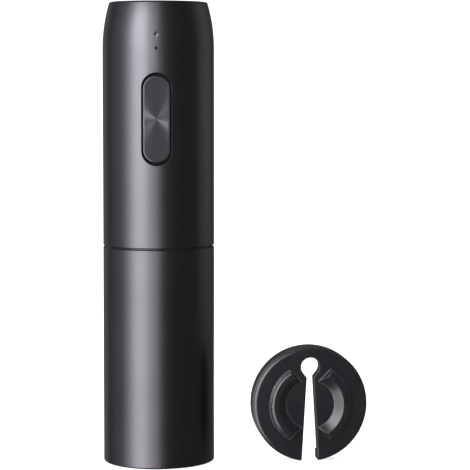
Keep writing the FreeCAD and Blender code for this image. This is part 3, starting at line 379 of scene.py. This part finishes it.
def make_materials():
    """One material for each of the record's material slots."""
    return {
        "anodised_dark": anodised(),
        "button_metal": spun_metal(),
        "clear_light_guide": clear(),
        # Black plastic's light edge colour is a painted highlight along its edges.
        "black_plastic": plastic(
            "black_plastic", (0.005, 0.005, 0.0068), (0.0075, 0.0075, 0.0095), 0.3,
            radius=0.0004, specular=0.55, edge_wear_and_highlight=(0.35, 0.35, 0.36)),
        "black_rubber": plastic(
            "black_rubber", (0.006, 0.006, 0.006), (0.010, 0.010, 0.010), 0.75, specular=0.15),
        "pale_plastic": plastic(
            "pale_plastic", (0.56, 0.56, 0.52), (0.62, 0.62, 0.58), 0.45, edge_wear_and_highlight=(0.7, 0.7, 0.66)),
        "cell_wrap": plastic(
            "cell_wrap", (0.07, 0.2, 0.42), (0.09, 0.24, 0.48), 0.22, 1500, edge_wear_and_highlight=(0.2, 0.3, 0.5)),
        "lead_jacket": plastic(
            "lead_jacket", (0.45, 0.03, 0.03), (0.52, 0.05, 0.04), 0.4, edge_wear_and_highlight=(0.55, 0.1, 0.08)),
        "board_green": plastic(
            "board_green", (0.006, 0.008, 0.008), (0.011, 0.014, 0.013), 0.35, 3000,
            edge_wear_and_highlight=(0.2, 0.17, 0.08)),
        "chip_black": plastic(
            "chip_black", (0.018, 0.018, 0.019), (0.03, 0.03, 0.03), 0.5, edge_wear_and_highlight=(0.1, 0.1, 0.1)),
        "polished_steel": metal("polished_steel", (0.56, 0.57, 0.58), (0.62, 0.62, 0.63), 0.16),
        "sintered_steel": metal(
            "sintered_steel", (0.30, 0.29, 0.28), (0.38, 0.37, 0.36), 0.42, depth=0.00001),
        "zinc_steel": metal("zinc_steel", (0.46, 0.47, 0.48), (0.55, 0.55, 0.55), 0.3),
        "magnet": metal("magnet", (0.07, 0.07, 0.07), (0.11, 0.11, 0.11), 0.55, depth=0.00001),
        "bronze": metal("bronze", (0.52, 0.36, 0.17), (0.62, 0.44, 0.22), 0.34),
        "copper_wire": metal(
            "copper_wire", (0.58, 0.24, 0.11), (0.68, 0.31, 0.16), 0.3, (1, 1, 12), 900, 0.00004),
    }


def paint_nodes(materials):
    """Give every CAD node its slot's procedural material."""
    for part in frame["record"]["subparts"]:
        mesh = frame["nodes"][part["node"]].data
        mesh.materials.clear()
        mesh.materials.append(materials[part["material_slot"]])


# ---- foil cutter -------------------------------------------------------------------------------
# Local axes: u across, w up from the disc's centre, d back from the front face. Millimetres here.

MM = 0.001

# Moulding: a disc with a face, a wider flange band, a plate and a hollow back
FACE_R = 25.45
FLANGE_R = 26.1
RIM_IN_R = 22.1
CORE_R = 0.9                # lies in the slot, so the sweep needs no point on its axis
LEDGE_D = 1.7
PLATE_D = 6.2
BACK_D = 10.6

# Keyhole: a round hole and a slot that widens from its neck down to the tips
HOLE_W = 17.0
HOLE_R = 4.25
NECK_W = 12.2
NECK_HALF = 1.63
TIP_HALF = 3.95
SLOT_END_W = -26.6
THROUGH = (-2, 14)

CUTTER_AT = (68.4, -6.5, math.sqrt(FLANGE_R ** 2 - TIP_HALF ** 2))
CUTTER_YAW = math.radians(6.5)

# Raised locating arcs: inner foot, land, chamfered edge, and a low step outside it
ARC_IN_R = 11.0
ARC_LAND_IN_R = 14.8
ARC_LAND_OUT_R = 17.6
ARC_BASE_R = 18.3
ARC_TOP_D = -2.8
ARC_STEP_D = -0.9
ARC_CHAMFER = (0.8, 0.36)
ARC_HALF_ANGLE = 60.0
ARC_END_CUTS = ((-4.0, 1.3), (1.0, -0.3))       # depth, and how far the sloped end is cut back there

# Snap lug: (r, d, radius) outline, the angles it is swept between, and the (u, w) area it is kept in
LUG_OUTLINE = ((16.2, -2.2, 0), (18.7, -2.2, 0.25), (19.1, -1.8, 0.2), (19.1, -0.9, 0.3),
               (18.1, 0.3, 0), (16.2, 0.3, 0))
LUG_SWEEP = (160, 230)
LUG_AREA = ((-6, 0.5), (-30, 2.3), (-30, -18), (-6, -3.6))

# Blocks behind the plate that hold the four wheels
WHEEL_AT_R = 18.0
WHEEL_ANGLE = 38.0
BLOCK_OUTLINE = ((15.3, 6.0, 0), (22.3, 6.0, 0), (22.3, 10.3, 0.3), (15.3, 10.3, 0.3))
BLOCK_ROUND_R = 5.6
WHEEL_SLOT_R = 4.0
WHEEL_SLOT_D = (7.65, 8.95)


def rounded(corners, steps=5):
    """Closed outline from (a, b, radius) corners, each one rounded off by its radius."""
    points = []
    for i, (a, b, radius) in enumerate(corners):
        here = Vector((a, b))
        if radius == 0:
            points.append(here)
            continue
        before = Vector(corners[i - 1][:2]) - here
        after = Vector(corners[(i + 1) % len(corners)][:2]) - here
        half = before.angle(after) / 2
        reach = radius / math.tan(half)
        inwards = (before.normalized() + after.normalized()).normalized()
        centre = here + inwards * radius / math.sin(half)
        first = here + before.normalized() * reach - centre
        last = here + after.normalized() * reach - centre
        turn = first.angle_signed(last)
        for k in range(steps + 1):
            points.append(centre + Matrix.Rotation(-turn * k / steps, 2) @ first)
    return points


def circle(u, w, radius, steps):
    angles = [math.tau * k / steps for k in range(steps)]
    return [(u + radius * math.cos(a), w + radius * math.sin(a)) for a in angles]


def place_cutter(u, w, d):
    """Point on the cutter, from its own axes to the frame."""
    x = CUTTER_AT[0] + u * math.cos(CUTTER_YAW) - d * math.sin(CUTTER_YAW)
    y = CUTTER_AT[1] + u * math.sin(CUTTER_YAW) + d * math.cos(CUTTER_YAW)
    return Vector((x, y, CUTTER_AT[2] + w)) * MM


def solid(name, rings, closed):
    """Mesh object through rings of points; closed rings join end to end, others get end faces."""
    shape = bmesh.new()
    rows = [[shape.verts.new(p) for p in ring] for ring in rings]
    count = len(rows)
    for i in range(count if closed else count - 1):
        near, far = rows[i], rows[(i + 1) % count]
        for j in range(len(near)):
            shape.faces.new((near[j - 1], near[j], far[j], far[j - 1]))
    if not closed:
        shape.faces.new(rows[0])
        shape.faces.new(reversed(rows[-1]))
    bmesh.ops.recalc_face_normals(shape, faces=shape.faces)
    mesh = bpy.data.meshes.new(name)
    shape.to_mesh(mesh)
    shape.free()
    piece = bpy.data.objects.new(name, mesh)
    scene.collection.objects.link(piece)
    return piece


def turned(name, outline, start, end, steps):
    """Sweep an (r, d) outline round the cutter's axis between two angles in degrees."""
    closed = end - start >= 360
    rings = []
    for k in range(steps if closed else steps + 1):
        a = math.radians(start + (end - start) * k / steps)
        rings.append([place_cutter(r * math.cos(a), r * math.sin(a), d) for r, d in outline])
    return solid(name, rings, closed)


def prism(name, outline, front, back):
    """Extrude a (u, w) outline between two depths."""
    return solid(name, [[place_cutter(u, w, d) for u, w in outline] for d in (front, back)], False)


def combine(piece, tool, operation):
    """Boolean one mesh with another, keep the result in the first and drop the second."""
    modifier = piece.modifiers.new("cut", "BOOLEAN")
    modifier.operation = operation
    modifier.solver = "EXACT"
    modifier.object = tool
    evaluated = piece.evaluated_get(bpy.context.evaluated_depsgraph_get())
    mesh = bpy.data.meshes.new_from_object(evaluated)
    piece.modifiers.clear()
    piece.data = mesh
    bpy.data.objects.remove(tool)
    return piece


def cutter_arc(side):
    """Raised locating arc whose ends slope down to the face."""
    chamfer_r, chamfer_d = ARC_CHAMFER
    outline = rounded([(ARC_IN_R, 0, 0), (ARC_LAND_IN_R, ARC_TOP_D, 0.15),
                       (ARC_LAND_OUT_R - chamfer_r, ARC_TOP_D, 0.2),
                       (ARC_LAND_OUT_R, ARC_TOP_D + chamfer_d, 0.15),
                       (ARC_LAND_OUT_R, ARC_STEP_D, 0.2), (ARC_BASE_R, ARC_STEP_D, 0.4),
                       (ARC_BASE_R, 0.5, 0), (ARC_IN_R, 0.5, 0)])
    middle = 0 if side > 0 else 180
    arc = turned("arc", outline, middle - 75, middle + 75, 64)
    half_angle = math.radians(ARC_HALF_ANGLE)
    apex = ARC_BASE_R * math.cos(half_angle) - ARC_BASE_R * math.sin(half_angle)
    ends = []
    for d, shrink in ARC_END_CUTS:
        u = apex + shrink * math.sqrt(2)
        ends.append([place_cutter(side * a, b, d) for a, b in ((u, 0), (u + 45, 45), (u + 45, -45))])
    return combine(arc, solid("ends", ends, False), "INTERSECT")


def cutter_lug():
    """Snap lug beside the left arc."""
    lug = turned("lug", rounded(LUG_OUTLINE, 3), *LUG_SWEEP, 32)
    return combine(lug, prism("lug_ends", LUG_AREA, -5, 2), "INTERSECT")


def cutter_blocks():
    """Blocks behind the plate, each with a slot for its wheel."""
    blocks = []
    for side in (-1, 1):
        for level in (-1, 1):
            u = side * WHEEL_AT_R * math.cos(math.radians(WHEEL_ANGLE))
            w = level * WHEEL_AT_R * math.sin(math.radians(WHEEL_ANGLE))
            around = math.degrees(math.atan2(w, u))
            block = turned("block", rounded(BLOCK_OUTLINE, 3), around - 25, around + 25, 24)
            block = combine(block, prism("round", circle(u, w, BLOCK_ROUND_R, 48), 4, 12), "INTERSECT")
            wheel_slot = prism("wheel_slot", circle(u, w, WHEEL_SLOT_R, 48), *WHEEL_SLOT_D)
            blocks.append(combine(block, wheel_slot, "DIFFERENCE"))
    return blocks


def make_cutter(plastic_finish):
    """The whole moulding as one mesh in place of the two CAD halves; the real moulding bends at the
    bridge over its round hole.
    """
    outline = rounded([(CORE_R, 0, 0), (FACE_R - 1.0, 0, 0.3), (FACE_R, 0.46, 0.15),
                       (FACE_R, LEDGE_D, 0.15), (FLANGE_R, LEDGE_D, 0.25), (FLANGE_R, BACK_D, 0.8),
                       (RIM_IN_R, BACK_D, 0.4), (RIM_IN_R, PLATE_D, 0.3), (CORE_R, PLATE_D, 0)])
    body = turned("foil_cutter", outline, 0, 360, 256)
    corner = HOLE_R * math.sqrt(0.5)
    slot = [(-NECK_HALF, NECK_W), (-TIP_HALF, SLOT_END_W), (TIP_HALF, SLOT_END_W),
            (NECK_HALF, NECK_W), (corner, HOLE_W - corner), (-corner, HOLE_W - corner)]
    body = combine(body, prism("slot", slot, *THROUGH), "DIFFERENCE")
    body = combine(body, prism("hole", circle(0, HOLE_W, HOLE_R, 96), *THROUGH), "DIFFERENCE")
    for extra in [cutter_arc(-1), cutter_arc(1), cutter_lug()] + cutter_blocks():
        shape = bmesh.new()
        shape.from_mesh(body.data)
        shape.from_mesh(extra.data)
        shape.to_mesh(body.data)
        shape.free()
        bpy.data.objects.remove(extra)
    for face in body.data.polygons:
        face.use_smooth = True
    body.data.set_sharp_from_angle(angle=math.radians(28))
    body.data.materials.clear()
    body.data.materials.append(plastic_finish)
    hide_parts("cutter_left", "cutter_right")
    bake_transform(body)


scene.view_settings.view_transform = "Standard"
make_camera()
make_world()
make_lights()
make_floor()
materials = make_materials()
paint_nodes(materials)
make_cutter(materials["black_plastic"])
